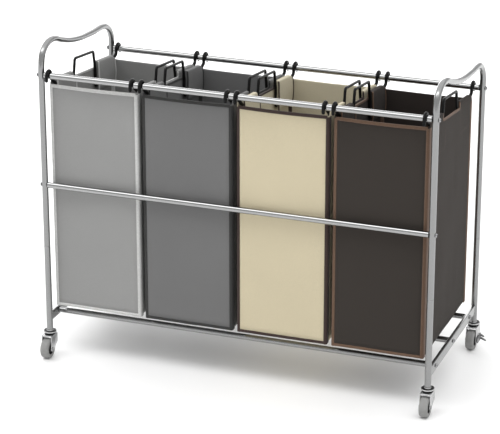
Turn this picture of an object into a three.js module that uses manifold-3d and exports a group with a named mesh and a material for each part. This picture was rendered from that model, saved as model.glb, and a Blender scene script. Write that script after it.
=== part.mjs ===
// A four-bag laundry sorter on casters. Millimetres, +Z up, front towards -Y.
// Two bent-tube end frames carry chromed cross rails. Each bag hangs on the top rails by two side wires.
import * as THREE from 'three';
import { mergeVertices } from 'three/addons/utils/BufferGeometryUtils.js';
import Module from 'manifold-3d';

const wasm = await Module();
wasm.setup();

// Fit between neighbouring pieces
const GAP = 0.3;

// End frames: the upper tube is one inverted U, plugged onto a lower post at each foot
const POST_X = 436.5;
const POST_Y = 185.5;
const TUBE_RADIUS = 7;
const TUBE_WALL = 1.2;
const TUBE_SIDES = 10;
const JOINT_Z = 262;
const SPIGOT_LENGTH = 25;
const SPIGOT_RADIUS = 5.3;
const POST_FOOT_Z = 62.8;
const HOOP_STEPS = 28;

// Push hoop, front to rear, as [y, z]: two round shoulders and a shallow saddle that falls towards the rear
const HOOP_POINTS = [
	[ - POST_Y, 640 ], [ - POST_Y, 672 ], [ - 177, 700 ], [ - 152, 716 ], [ - 118, 716.5 ], [ - 84, 705 ],
	[ - 37, 691 ], [ 20, 680.5 ], [ 85, 675 ], [ 145, 672 ], [ 172, 659 ], [ 187, 636 ], [ 187, 610 ],
	[ POST_Y, 575 ],
];

// Cross rails
const RAIL_RADIUS = 6.75;
const RAIL_WALL = 1;
const FRONT_RAIL_Z = 654;
const REAR_RAIL_Z = 610;
const MID_RAIL_Z = 405;

// Base: a flat tube at each end, and round rails between them
const BASE_Z = 93;
const BASE_TUBE_HEIGHT = 21;
const BASE_TUBE_DEPTH = 8;
const BASE_RAIL_RADIUS = 6.5;
const BASE_RAIL_Y = { front: - 140.5, middle: - 4, rear: 132.5 };

// Rail bolts
const BOLT_HEAD_RADIUS = 5.6;
const BOLT_HEAD_HEIGHT = 3.3;
const BOLT_SHANK_RADIUS = 2.6;
const BOLT_HOLE_RADIUS = 3.1;
const BOLT_REACH_INTO_RAIL = 12;

// Bags
const BAG_COUNT = 4;
const BAG_PITCH = 214;
const BAG_WIDTH = 203;
const BAG_ROW_X = - 2.25;
const BAG_FRONT_Y = - 172;
const BAG_REAR_Y = 163.5;
const BAG_BOTTOM_Z = 117;
const BAG_FRONT_TOP_Z = 631;
const BAG_REAR_TOP_Z = 591.5;
const BAG_WALL = 1.5;
const BAG_FLOOR = 3;
const EAR_RISE = 11;
const EAR_CORNER = 20;
const EAR_CORNER_DROP = 11;
const NOTCH_FRONT_Y = - 67.5;
const NOTCH_REAR_Y = 59.5;
const NOTCH_DEPTH = 13.5;
const BAG_COLORS = [ 0x9a9a98, 0x757575, 0xd0c7aa, 0x3f3b37 ];

// Side wires: a hook at each end and a carrying handle between them
const WIRE_RADIUS = 2.7;
const WIRE_SIDES = 6;
const WIRE_OFFSET = 96.5;
const HOOK_SLEEVE_RADIUS = 3.6;
const HOOK_CLEARANCE = 0.4;
const HOOK_RADIUS = RAIL_RADIUS + HOOK_CLEARANCE + HOOK_SLEEVE_RADIUS;
const HOOK_STEPS = 6;
const HOOK_TIP_DROP = 9;
const HANDLE_TOP_HALF = 49;
const HANDLE_LEG_HALF = 58;
const HANDLE_MIDDLE_Y = - 1.5;
const HANDLE_TOP_Z = 648;
const HANDLE_TOP_FALL = 12;
const HANDLE_KNEE_Z = 604;
const HANDLE_FOOT_Z = 557.5;
const HANDLE_FOOT_FALL = 3;
const HANDLE_BEND = 6;

// Casters, about the swivel axis
const WHEEL_RADIUS = 22.5;
const WHEEL_WIDTH = 19;
const WHEEL_SIDES = 24;
const WHEEL_TRAIL = 15;
const AXLE_RADIUS = 3;
const FORK_LEG = 2;
const FORK_INSIDE = WHEEL_WIDTH + 1.5;
const FORK_TOP_Z = 53;
const FORK_BRIDGE = 3;
const FORK_FRONT_Y = - 19;
const FORK_REAR_Y = 13;
const FORK_SHOULDER_Z = 32;
const FORK_BOSS_RADIUS = 6.5;
const RACE_RADIUS = 14.75;
const RACE_Z = 57;
const RACE_HEIGHT = 3.3;
const LOWER_RACE_RADIUS = 12.5;
const STEM_RADIUS = 5;
const STEM_TOP_Z = 100;
const KINGPIN_RADIUS = 3.5;
const KINGPIN_HEAD_RADIUS = 5.5;
const KINGPIN_HEAD_HEIGHT = 2.5;

// Brake pedals, on the rear casters
const PEDAL_PLATE = 2.5;
const PEDAL_TAB = 3;
const PEDAL_TAB_WIDTH = 6;
const PEDAL_TAB_SLOPE = 24 * Math.PI / 180;
const PEDAL_TABS = [ { y: 10, z: 19, length: 14.5 }, { y: 5, z: 29, length: 10.5 } ];

// Left to right, and front to rear
const SIDES = { left: - 1, right: 1 };
const ENDS = { front: - 1, rear: 1 };

// ---- Finishes ----

const satinSilver = { color: 0xb9bcbd, roughness: 0.35, metalness: 0.8 };
const chrome = { color: 0xe6e8ea, roughness: 0.12, metalness: 1 };
const zinc = { color: 0xc4c7c9, roughness: 0.3, metalness: 0.9 };
const blackWire = { color: 0x151515, roughness: 0.4, metalness: 0.1 };
const greyRubber = { color: 0x6d6d6d, roughness: 0.7, metalness: 0 };
const greySteel = { color: 0x6f7072, roughness: 0.45, metalness: 0.6 };
const fabric = ( color ) => ( { color, roughness: 0.95, metalness: 0 } );

// ---- Geometry helpers ----

/** A path stepped point by point, so that a straight run costs one step however long it is. */
class BentPath extends THREE.Curve {

	constructor( points ) {

		super();
		this.points = points;
		this.last = points.length - 1;

	}

	getUtoTmapping( u ) {

		return u;

	}

	getPoint( t, target = new THREE.Vector3() ) {

		const index = Math.min( Math.floor( t * this.last + 1e-6 ), this.last - 1 );
		return target.lerpVectors( this.points[ index ], this.points[ index + 1 ], t * this.last - index );

	}

	getTangent( t, target = new THREE.Vector3() ) {

		const index = Math.round( t * this.last );
		const here = this.points[ index ];
		target.set( 0, 0, 0 );
		if ( index > 0 ) target.add( here.clone().sub( this.points[ index - 1 ] ).normalize() );
		if ( index < this.last ) target.add( this.points[ index + 1 ].clone().sub( here ).normalize() );
		return target.normalize();

	}

}

const inSidePlane = ( y, z ) => new THREE.Vector3( 0, y, z );

function circle( radius, sides ) {

	const points = [];
	for ( let i = 0; i < sides; i ++ ) {

		const angle = ( i + 0.5 ) / sides * 2 * Math.PI;
		points.push( new THREE.Vector2( radius * Math.cos( angle ), radius * Math.sin( angle ) ) );

	}

	return points;

}

/** A rod or, with a wall, an open-ended tube along a bent path. */
function bentTube( points, radius, sides, wall = 0 ) {

	const section = new THREE.Shape( circle( radius, sides ) );
	if ( wall > 0 ) section.holes.push( new THREE.Path( circle( radius - wall, sides ) ) );
	const extrudePath = new BentPath( points );
	return new THREE.ExtrudeGeometry( section, { steps: extrudePath.last, extrudePath } );

}

/** Replaces each corner of a polyline by an arc, tangent to both of its runs. */
function roundCorners( corners, radius, steps ) {

	const points = [ corners[ 0 ] ];
	for ( let i = 1; i < corners.length - 1; i ++ ) {

		const corner = corners[ i ];
		const back = corners[ i - 1 ].clone().sub( corner ).normalize();
		const ahead = corners[ i + 1 ].clone().sub( corner ).normalize();
		const half = back.angleTo( ahead ) / 2;
		const inward = back.clone().add( ahead ).normalize();
		const centre = inward.multiplyScalar( radius / Math.sin( half ) ).add( corner );
		const start = back.clone().multiplyScalar( radius / Math.tan( half ) ).add( corner ).sub( centre );
		const end = ahead.clone().multiplyScalar( radius / Math.tan( half ) ).add( corner ).sub( centre );
		const axis = start.clone().cross( end ).normalize();
		for ( let step = 0; step <= steps; step ++ ) {

			points.push( start.clone().applyAxisAngle( axis, start.angleTo( end ) * step / steps ).add( centre ) );

		}

	}

	points.push( corners[ corners.length - 1 ] );
	return points;

}

/** A solid turned about Z. The profile lists [radius, z] up the outside, then down any inside. */
function turned( profile, segments ) {

	const points = profile.map( ( [ radius, z ] ) => new THREE.Vector2( radius, z ) );
	const closed = profile[ 0 ][ 0 ] > 0;
	if ( closed ) points.push( points[ 0 ].clone() );
	return new THREE.LatheGeometry( points, segments ).rotateX( Math.PI / 2 );

}

function pipe( radius, wall, length, segments = TUBE_SIDES ) {

	const inside = radius - wall;
	const half = length / 2;
	return turned( [ [ radius, - half ], [ radius, half ], [ inside, half ], [ inside, - half ] ], segments );

}

const rod = ( radius, length, segments ) => new THREE.CylinderGeometry( radius, radius, length, segments );
const rodAlongX = ( radius, length, segments = 10 ) => rod( radius, length, segments ).rotateZ( Math.PI / 2 );
const rodAlongZ = ( radius, length, segments = 12 ) => rod( radius, length, segments ).rotateX( Math.PI / 2 );

/** A plate whose outline is drawn in the YZ plane, with its thickness centred on X. */
function sidePlate( outline, thickness ) {

	const options = { depth: thickness, bevelEnabled: false, curveSegments: 8 };
	const plate = new THREE.ExtrudeGeometry( outline, options );
	plate.translate( 0, 0, - thickness / 2 );
	// (x, y, z) of the drawing becomes (z, x, y) of the part
	return plate.applyMatrix4( new THREE.Matrix4().set( 0, 0, 1, 0, 1, 0, 0, 0, 0, 1, 0, 0, 0, 0, 0, 1 ) );

}

// ---- Joins and cuts ----

function toManifold( geometry ) {

	const bare = geometry.clone();
	bare.deleteAttribute( 'normal' );
	bare.deleteAttribute( 'uv' );
	const merged = mergeVertices( bare, 1e-4 );
	const vertProperties = new Float32Array( merged.attributes.position.array );
	const triVerts = new Uint32Array( merged.index.array );
	return new wasm.Manifold( new wasm.Mesh( { numProp: 3, vertProperties, triVerts } ) );

}

function toGeometry( solid ) {

	const mesh = solid.getMesh();
	const geometry = new THREE.BufferGeometry();
	geometry.setAttribute( 'position', new THREE.BufferAttribute( mesh.vertProperties, 3 ) );
	geometry.setIndex( new THREE.BufferAttribute( mesh.triVerts, 1 ) );
	geometry.computeVertexNormals();
	return geometry;

}

function join( geometries ) {

	return toGeometry( geometries.map( toManifold ).reduce( ( whole, piece ) => whole.add( piece ) ) );

}

function cut( geometry, tools ) {

	const start = toManifold( geometry );
	return toGeometry( tools.map( toManifold ).reduce( ( whole, tool ) => whole.subtract( tool ), start ) );

}

// ---- Assembly ----

const sorter = new THREE.Group();

function addPiece( name, geometry, finish, [ x, y, z ] = [ 0, 0, 0 ], parent = sorter ) {

	const mesh = new THREE.Mesh( geometry, new THREE.MeshStandardMaterial( finish ) );
	mesh.name = name;
	mesh.position.set( x, y, z );
	parent.add( mesh );
	return mesh;

}

// ---- Frame ----

const railSeats = [
	{ name: 'front_top', y: - POST_Y, z: FRONT_RAIL_Z },
	{ name: 'rear_top', y: POST_Y, z: REAR_RAIL_Z },
	{ name: 'middle', y: - POST_Y, z: MID_RAIL_Z },
];

function boltHoles( seats, length ) {

	return seats.map( ( { y, z } ) => rodAlongX( BOLT_HOLE_RADIUS, length ).translate( 0, y, z ) );

}

function endFrame() {

	const hoop = new THREE.CatmullRomCurve3( HOOP_POINTS.map( ( [ y, z ] ) => inSidePlane( y, z ) ) );
	const foot = JOINT_Z + GAP;
	const path = [ inSidePlane( - POST_Y, foot ), ...hoop.getPoints( HOOP_STEPS ), inSidePlane( POST_Y, foot ) ];
	const tube = bentTube( path, TUBE_RADIUS, TUBE_SIDES, TUBE_WALL );
	return cut( tube, boltHoles( railSeats, 3 * TUBE_RADIUS ) );

}

function lowerPost() {

	const inside = TUBE_RADIUS - TUBE_WALL;
	const spigotBore = SPIGOT_RADIUS - TUBE_WALL;
	return turned( [
		[ TUBE_RADIUS, POST_FOOT_Z ], [ TUBE_RADIUS, JOINT_Z ],
		[ SPIGOT_RADIUS, JOINT_Z ], [ SPIGOT_RADIUS, JOINT_Z + SPIGOT_LENGTH ],
		[ spigotBore, JOINT_Z + SPIGOT_LENGTH ], [ spigotBore, JOINT_Z - 5 ],
		[ inside, JOINT_Z - 10 ], [ inside, POST_FOOT_Z ],
	], 12 );

}

function baseEndTube() {

	const length = 2 * ( POST_Y - TUBE_RADIUS - GAP );
	const rectangle = ( height, depth ) => [ [ - 1, - 1 ], [ 1, - 1 ], [ 1, 1 ], [ - 1, 1 ] ]
		.map( ( [ across, up ] ) => new THREE.Vector2( across * depth / 2, up * height / 2 ) );
	const section = new THREE.Shape( rectangle( BASE_TUBE_HEIGHT, BASE_TUBE_DEPTH ) );
	const bore = rectangle( BASE_TUBE_HEIGHT - 2 * TUBE_WALL, BASE_TUBE_DEPTH - 2 * TUBE_WALL );
	section.holes.push( new THREE.Path( bore ) );
	const tube = new THREE.ExtrudeGeometry( section, { depth: length, bevelEnabled: false } );
	tube.translate( 0, 0, - length / 2 ).rotateX( Math.PI / 2 );
	const seats = Object.values( BASE_RAIL_Y ).map( ( y ) => ( { y, z: 0 } ) );
	return cut( tube, boltHoles( seats, 2 * BASE_TUBE_DEPTH ) );

}

/** A round-headed bolt along +X: its head stands out from x = 0 and its shank runs back from there. */
function bolt( grip ) {

	const shank = grip + BOLT_REACH_INTO_RAIL;
	return turned( [
		[ 0, - shank ], [ BOLT_SHANK_RADIUS, - shank ], [ BOLT_SHANK_RADIUS, 0 ], [ BOLT_HEAD_RADIUS, 0 ],
		[ 0.75 * BOLT_HEAD_RADIUS, 0.8 * BOLT_HEAD_HEIGHT ], [ 0, BOLT_HEAD_HEIGHT ],
	], 8 ).rotateY( Math.PI / 2 );

}

function addBolt( name, side, grip, [ x, y, z ] ) {

	const mesh = addPiece( name, bolt( grip ), zinc, [ side * ( x + GAP ), y, z ] );
	if ( side < 0 ) mesh.rotation.z = Math.PI;

}

function addFrame() {

	for ( const [ sideName, side ] of Object.entries( SIDES ) ) {

		addPiece( `${ sideName }_end_frame`, endFrame(), satinSilver, [ side * POST_X, 0, 0 ] );
		addPiece( `${ sideName }_base_tube`, baseEndTube(), satinSilver, [ side * POST_X, 0, BASE_Z ] );
		for ( const [ endName, end ] of Object.entries( ENDS ) ) {

			const foot = [ side * POST_X, end * POST_Y, 0 ];
			addPiece( `${ endName }_${ sideName }_lower_post`, lowerPost(), satinSilver, foot );

		}

		for ( const seat of railSeats ) {

			const place = [ POST_X + TUBE_RADIUS, seat.y, seat.z ];
			addBolt( `${ seat.name }_rail_${ sideName }_bolt`, side, 2 * TUBE_RADIUS, place );

		}

		for ( const [ railName, y ] of Object.entries( BASE_RAIL_Y ) ) {

			const place = [ POST_X + BASE_TUBE_DEPTH / 2, y, BASE_Z ];
			addBolt( `${ railName }_base_rail_${ sideName }_bolt`, side, BASE_TUBE_DEPTH, place );

		}

	}

	const railLength = 2 * ( POST_X - TUBE_RADIUS - GAP );
	for ( const seat of railSeats ) {

		const rail = pipe( RAIL_RADIUS, RAIL_WALL, railLength ).rotateY( Math.PI / 2 );
		addPiece( `${ seat.name }_rail`, rail, chrome, [ 0, seat.y, seat.z ] );

	}

	const baseRailLength = 2 * ( POST_X - BASE_TUBE_DEPTH / 2 - GAP );
	for ( const [ railName, y ] of Object.entries( BASE_RAIL_Y ) ) {

		const rail = pipe( BASE_RAIL_RADIUS, RAIL_WALL, baseRailLength ).rotateY( Math.PI / 2 );
		addPiece( `${ railName }_base_rail`, rail, satinSilver, [ 0, y, BASE_Z ] );

	}

}

// ---- Bags ----

/** Height of the bag's front-to-rear slope at y, from its front and rear panel tops. */
function slopeZ( y ) {

	const share = ( y - BAG_FRONT_Y ) / ( BAG_REAR_Y - BAG_FRONT_Y );
	return BAG_FRONT_TOP_Z + share * ( BAG_REAR_TOP_Z - BAG_FRONT_TOP_Z );

}

/** Side view of the bag: ears at both ends of the sloping top edge, and a hand notch between them. */
function bagSideOutline() {

	const earZ = ( y ) => slopeZ( y ) + EAR_RISE;
	return new THREE.Shape( [
		[ BAG_FRONT_Y, BAG_BOTTOM_Z ], [ BAG_REAR_Y, BAG_BOTTOM_Z ],
		[ BAG_REAR_Y, earZ( BAG_REAR_Y ) - EAR_CORNER_DROP ],
		[ BAG_REAR_Y - 0.3 * EAR_CORNER, earZ( BAG_REAR_Y ) - 0.3 * EAR_CORNER_DROP ],
		[ BAG_REAR_Y - EAR_CORNER, earZ( BAG_REAR_Y - EAR_CORNER ) ],
		[ NOTCH_REAR_Y, earZ( NOTCH_REAR_Y ) ], [ NOTCH_REAR_Y, earZ( NOTCH_REAR_Y ) - NOTCH_DEPTH ],
		[ NOTCH_FRONT_Y, earZ( NOTCH_FRONT_Y ) - NOTCH_DEPTH ], [ NOTCH_FRONT_Y, earZ( NOTCH_FRONT_Y ) ],
		[ BAG_FRONT_Y + EAR_CORNER, earZ( BAG_FRONT_Y + EAR_CORNER ) ],
		[ BAG_FRONT_Y + 0.3 * EAR_CORNER, earZ( BAG_FRONT_Y ) - 0.3 * EAR_CORNER_DROP ],
		[ BAG_FRONT_Y, earZ( BAG_FRONT_Y ) - EAR_CORNER_DROP ],
	].map( ( [ y, z ] ) => new THREE.Vector2( y, z ) ) );

}

/** The space cut out of the bag: its inside, and the openings above its lower front and rear panels. */
function bagHollowOutline() {

	const above = BAG_FRONT_TOP_Z + 100;
	const beyond = 20;
	return new THREE.Shape( [
		[ BAG_FRONT_Y + BAG_WALL, BAG_BOTTOM_Z + BAG_FLOOR ], [ BAG_REAR_Y - BAG_WALL, BAG_BOTTOM_Z + BAG_FLOOR ],
		[ BAG_REAR_Y - BAG_WALL, BAG_REAR_TOP_Z ], [ BAG_REAR_Y + beyond, BAG_REAR_TOP_Z ],
		[ BAG_REAR_Y + beyond, above ], [ BAG_FRONT_Y - beyond, above ],
		[ BAG_FRONT_Y - beyond, BAG_FRONT_TOP_Z ], [ BAG_FRONT_Y + BAG_WALL, BAG_FRONT_TOP_Z ],
	].map( ( [ y, z ] ) => new THREE.Vector2( y, z ) ) );

}

function bagShell() {

	const hollow = sidePlate( bagHollowOutline(), BAG_WIDTH - 2 * BAG_WALL );
	return cut( sidePlate( bagSideOutline(), BAG_WIDTH ), [ hollow ] );

}

/** The arc of a hook over its rail, from its free tip to the start of its inner leg. */
function hookPoints( end, railZ ) {

	const points = [ inSidePlane( end * ( POST_Y + HOOK_RADIUS ), railZ - HOOK_TIP_DROP ) ];
	for ( let step = 0; step <= HOOK_STEPS; step ++ ) {

		const angle = Math.PI * step / HOOK_STEPS;
		const outward = POST_Y + HOOK_RADIUS * Math.cos( angle );
		points.push( inSidePlane( end * outward, railZ + HOOK_RADIUS * Math.sin( angle ) ) );

	}

	return points;

}

/** The wire in one side of a bag: two sleeved hooks, and the handle between their runs inside the panel. */
function sideWire() {

	const innerLegY = POST_Y - HOOK_RADIUS;
	const fall = ( end, amount ) => - end * amount / 2;
	const handle = ( end, half, z, amount ) =>
		inSidePlane( HANDLE_MIDDLE_Y + end * half, z + fall( end, amount ) );
	const corners = [
		inSidePlane( - innerLegY, FRONT_RAIL_Z ),
		inSidePlane( - innerLegY, FRONT_RAIL_Z - 9 ),
		handle( - 1, HANDLE_LEG_HALF, HANDLE_FOOT_Z, HANDLE_FOOT_FALL ),
		handle( - 1, HANDLE_LEG_HALF, HANDLE_KNEE_Z, HANDLE_TOP_FALL ),
		handle( - 1, HANDLE_TOP_HALF, HANDLE_TOP_Z, HANDLE_TOP_FALL ),
		handle( 1, HANDLE_TOP_HALF, HANDLE_TOP_Z, HANDLE_TOP_FALL ),
		handle( 1, HANDLE_LEG_HALF, HANDLE_KNEE_Z, HANDLE_TOP_FALL ),
		handle( 1, HANDLE_LEG_HALF, HANDLE_FOOT_Z, HANDLE_FOOT_FALL ),
		inSidePlane( innerLegY, REAR_RAIL_Z - 10 ),
		inSidePlane( innerLegY, REAR_RAIL_Z ),
	];
	const run = roundCorners( corners, HANDLE_BEND, 2 );
	const hooks = [ hookPoints( - 1, FRONT_RAIL_Z ), hookPoints( 1, REAR_RAIL_Z ).reverse() ];
	const wire = bentTube( [ ...hooks[ 0 ], ...run.slice( 1, - 1 ), ...hooks[ 1 ] ], WIRE_RADIUS, WIRE_SIDES );
	const sleeves = hooks.map( ( points ) => bentTube( points, HOOK_SLEEVE_RADIUS, WIRE_SIDES ) );
	return join( [ wire, ...sleeves ] );

}

function addBags() {

	for ( let index = 0; index < BAG_COUNT; index ++ ) {

		const bag = new THREE.Group();
		bag.position.x = BAG_ROW_X + ( index - ( BAG_COUNT - 1 ) / 2 ) * BAG_PITCH;
		sorter.add( bag );
		const number = index + 1;
		addPiece( `bag_${ number }`, bagShell(), fabric( BAG_COLORS[ index ] ), [ 0, 0, 0 ], bag );
		for ( const [ sideName, side ] of Object.entries( SIDES ) ) {

			addPiece( `bag_${ number }_${ sideName }_wire`, sideWire(), blackWire, [ side * WIRE_OFFSET, 0, 0 ], bag );

		}

	}

}

// ---- Casters, each drawn about its swivel axis with its wheel trailing towards -Y ----

/** Stem, upper race and kingpin, riveted over below the fork. */
function casterStem() {

	const headZ = FORK_TOP_Z - FORK_BRIDGE - GAP;
	return turned( [
		[ 0, headZ - KINGPIN_HEAD_HEIGHT ], [ KINGPIN_HEAD_RADIUS, headZ - KINGPIN_HEAD_HEIGHT ],
		[ KINGPIN_HEAD_RADIUS, headZ ], [ KINGPIN_RADIUS, headZ ], [ KINGPIN_RADIUS, RACE_Z ],
		[ RACE_RADIUS, RACE_Z ], [ RACE_RADIUS, RACE_Z + RACE_HEIGHT ],
		[ STEM_RADIUS, RACE_Z + RACE_HEIGHT ], [ STEM_RADIUS, STEM_TOP_Z ], [ 0, STEM_TOP_Z ],
	], 12 );

}

/** Side view of a fork leg: broad under the bridge, and tapering down to the axle boss. */
function forkLegOutline() {

	const outline = new THREE.Shape();
	outline.moveTo( FORK_REAR_Y, FORK_TOP_Z );
	outline.lineTo( FORK_FRONT_Y, FORK_TOP_Z );
	outline.absarc( - WHEEL_TRAIL, WHEEL_RADIUS, FORK_BOSS_RADIUS, Math.PI, 1.7 * Math.PI, false );
	outline.lineTo( FORK_REAR_Y, FORK_SHOULDER_Z );
	return outline;

}

function fork() {

	const width = FORK_INSIDE + 2 * FORK_LEG;
	const depth = FORK_REAR_Y - FORK_FRONT_Y;
	const legX = ( FORK_INSIDE + FORK_LEG ) / 2;
	const bridge = new THREE.BoxGeometry( width, depth, FORK_BRIDGE )
		.translate( 0, ( FORK_REAR_Y + FORK_FRONT_Y ) / 2, FORK_TOP_Z - FORK_BRIDGE / 2 );
	const raceHeight = RACE_Z - GAP - FORK_TOP_Z;
	const race = rodAlongZ( LOWER_RACE_RADIUS, raceHeight + 1 )
		.translate( 0, 0, FORK_TOP_Z + ( raceHeight - 1 ) / 2 );
	const legs = Object.values( SIDES )
		.map( ( side ) => sidePlate( forkLegOutline(), FORK_LEG ).translate( side * legX, 0, 0 ) );
	const kingpinBore = rodAlongZ( KINGPIN_RADIUS + 2 * GAP, 30 ).translate( 0, 0, FORK_TOP_Z );
	const axleBore = rodAlongX( AXLE_RADIUS + GAP, 2 * width ).translate( 0, - WHEEL_TRAIL, WHEEL_RADIUS );
	return cut( join( [ bridge, race, ...legs ] ), [ kingpinBore, axleBore ] );

}

/** A tyred wheel about X, with a recessed hub face. A flat of its many-sided tread faces the floor. */
function wheel() {

	const corner = WHEEL_RADIUS / Math.cos( Math.PI / WHEEL_SIDES );
	const half = WHEEL_WIDTH / 2;
	const bore = AXLE_RADIUS + 2 * GAP;
	const hub = 0.62 * WHEEL_RADIUS;
	const geometry = turned( [
		[ bore, - half + 2 ], [ hub, - half + 2 ], [ hub + 1, - half ], [ corner - 2, - half ], [ corner, - half + 2 ],
		[ corner, half - 2 ], [ corner - 2, half ], [ hub + 1, half ], [ hub, half - 2 ], [ bore, half - 2 ],
	], WHEEL_SIDES );
	return geometry.rotateZ( Math.PI / WHEEL_SIDES ).rotateY( Math.PI / 2 );

}

/** A brake lever on the axle's end: a plate outside the fork leg, and two foot tabs on it. */
function brakePedal() {

	const plateX = FORK_INSIDE / 2 + FORK_LEG + 1 + PEDAL_PLATE / 2;
	const [ low, high ] = PEDAL_TABS;
	const outline = new THREE.Shape();
	outline.moveTo( high.y + 4, high.z + 3 );
	outline.lineTo( high.y - 3, high.z + 3.5 );
	outline.absarc( - WHEEL_TRAIL, WHEEL_RADIUS, FORK_BOSS_RADIUS, 0.55 * Math.PI, 1.5 * Math.PI, false );
	outline.lineTo( low.y - 3, low.z - 3 );
	outline.lineTo( low.y + 4, low.z - 2.5 );
	const plate = sidePlate( outline, PEDAL_PLATE ).translate( plateX, 0, 0 );
	const tabs = PEDAL_TABS.map( ( { y, z, length } ) =>
		new THREE.BoxGeometry( length, PEDAL_TAB_WIDTH, PEDAL_TAB ).translate( length / 2, 0, 0 )
			.rotateY( PEDAL_TAB_SLOPE ).translate( plateX, y, z ) );
	const axleBore = rodAlongX( AXLE_RADIUS + GAP, 60 ).translate( 0, - WHEEL_TRAIL, WHEEL_RADIUS );
	return cut( join( [ plate, ...tabs ] ), [ axleBore ] );

}

function addCasters() {

	for ( const [ sideName, side ] of Object.entries( SIDES ) ) {

		for ( const [ endName, end ] of Object.entries( ENDS ) ) {

			const caster = new THREE.Group();
			caster.position.set( side * POST_X, end * POST_Y, 0 );
			sorter.add( caster );
			const braked = end > 0;
			const corner = `${ endName }_${ sideName }`;
			const axleCentre = [ braked ? PEDAL_PLATE / 2 : 0, - WHEEL_TRAIL, WHEEL_RADIUS ];
			const axleLength = FORK_INSIDE + 2 * FORK_LEG + 3 + ( braked ? PEDAL_PLATE : 0 );
			addPiece( `${ corner }_caster_stem`, casterStem(), chrome, [ 0, 0, 0 ], caster );
			addPiece( `${ corner }_caster_fork`, fork(), zinc, [ 0, 0, 0 ], caster );
			addPiece( `${ corner }_wheel`, wheel(), greyRubber, [ 0, - WHEEL_TRAIL, WHEEL_RADIUS ], caster );
			addPiece( `${ corner }_axle`, rodAlongX( AXLE_RADIUS, axleLength, 10 ), zinc, axleCentre, caster );
			if ( braked ) addPiece( `${ corner }_brake_pedal`, brakePedal(), greySteel, [ 0, 0, 0 ], caster );

		}

	}

}

addFrame();
addBags();
addCasters();

// The origin is the middle of the sorter's footprint, on the floor
const box = new THREE.Box3().setFromObject( sorter );
sorter.position.set( - ( box.min.x + box.max.x ) / 2, - ( box.min.y + box.max.y ) / 2, - box.min.z );

export default sorter;
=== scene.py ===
"""The looks of a laundry sorter on casters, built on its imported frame. Metres, +Z up, front at -Y."""
import math

import bmesh
import bpy
from mathutils import Matrix, Vector, noise


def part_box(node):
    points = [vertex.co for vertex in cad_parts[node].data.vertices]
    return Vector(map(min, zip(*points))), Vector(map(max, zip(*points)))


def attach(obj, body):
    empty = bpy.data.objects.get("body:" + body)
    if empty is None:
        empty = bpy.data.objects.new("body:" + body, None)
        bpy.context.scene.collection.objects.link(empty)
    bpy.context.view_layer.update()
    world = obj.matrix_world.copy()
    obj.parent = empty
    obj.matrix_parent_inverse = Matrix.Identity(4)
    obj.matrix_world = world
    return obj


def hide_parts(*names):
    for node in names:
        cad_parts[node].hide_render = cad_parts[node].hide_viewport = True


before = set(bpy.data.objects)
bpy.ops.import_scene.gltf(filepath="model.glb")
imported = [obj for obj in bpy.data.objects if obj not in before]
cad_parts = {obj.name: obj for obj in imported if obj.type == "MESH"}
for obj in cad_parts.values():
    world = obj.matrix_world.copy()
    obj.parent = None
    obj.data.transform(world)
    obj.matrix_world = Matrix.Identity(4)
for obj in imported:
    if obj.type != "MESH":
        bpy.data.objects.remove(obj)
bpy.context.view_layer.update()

MM = 0.001
SIDES = ("left", "right")
ENDS = ("front", "rear")
BAGS = (1, 2, 3, 4)

# ---- Sizes that the frame's boxes don't give ----

TUBE_WALL = 1.2 * MM
TUBE_SIDES = 40
WIRE_SIDES = 16
SLEEVE_SIDES = 20
CAP_STEPS = 4

BOLT_SIDES = 24
BOLT_RADIUS = 2.6 * MM
BOLT_HEAD_RADIUS = 4.6 * MM
BOLT_HEAD_HEIGHT = 3.3 * MM

# The push hoop about the posts' middle, as (y, z) in mm
HOOP = (
    (-185.5, 640), (-185.5, 672), (-177, 700), (-152, 716), (-118, 716.5), (-84, 705),
    (-37, 691), (20, 680.5), (85, 675), (145, 672), (172, 659), (187, 636), (187, 610), (185.5, 575),
)


# ---- Materials ----

def new_material(name, base, roughness, metallic=0.0, **sockets):
    material = bpy.data.materials.new(name)
    material.use_nodes = True
    shader = material.node_tree.nodes["Principled BSDF"]
    shader.inputs["Base Color"].default_value = (*base, 1)
    shader.inputs["Roughness"].default_value = roughness
    shader.inputs["Metallic"].default_value = metallic
    for socket, value in sockets.items():
        shader.inputs[socket.replace("_", " ")].default_value = value
    return material, material.node_tree, shader


def add_node(tree, kind, inputs=(), **settings):
    """A node with its settings; each of inputs is (socket, value or output socket)."""
    node = tree.nodes.new(kind)
    for setting, value in settings.items():
        setattr(node, setting, value)
    for socket, value in inputs:
        if isinstance(value, bpy.types.NodeSocket):
            tree.links.new(value, node.inputs[socket])
        else:
            node.inputs[socket].default_value = value
    return node


def arithmetic(tree, operation, *values):
    return add_node(tree, "ShaderNodeMath", list(enumerate(values)), operation=operation).outputs[0]


def multiply(tree, first, second):
    return arithmetic(tree, "MULTIPLY", first, second)


def add(tree, first, second):
    return arithmetic(tree, "ADD", first, second)


def place(tree):
    return add_node(tree, "ShaderNodeTexCoord").outputs["Object"]


def noise_texture(tree, scale, detail=2.0, roughness=0.5):
    inputs = [("Vector", place(tree)), ("Scale", scale), ("Detail", detail), ("Roughness", roughness)]
    return add_node(tree, "ShaderNodeTexNoise", inputs).outputs["Fac"]


def remap(tree, value, low, high, from_low=0.0, from_high=1.0):
    inputs = [
        ("Value", value), ("From Min", from_low), ("From Max", from_high), ("To Min", low), ("To Max", high),
    ]
    return add_node(tree, "ShaderNodeMapRange", inputs).outputs[0]


def wave(tree, value, pitch):
    """A sine of value with one crest for each pitch."""
    return arithmetic(tree, "SINE", multiply(tree, value, 2 * math.pi / pitch))


def average(tree, first, second):
    return multiply(tree, add(tree, first, second), 0.5)


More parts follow.
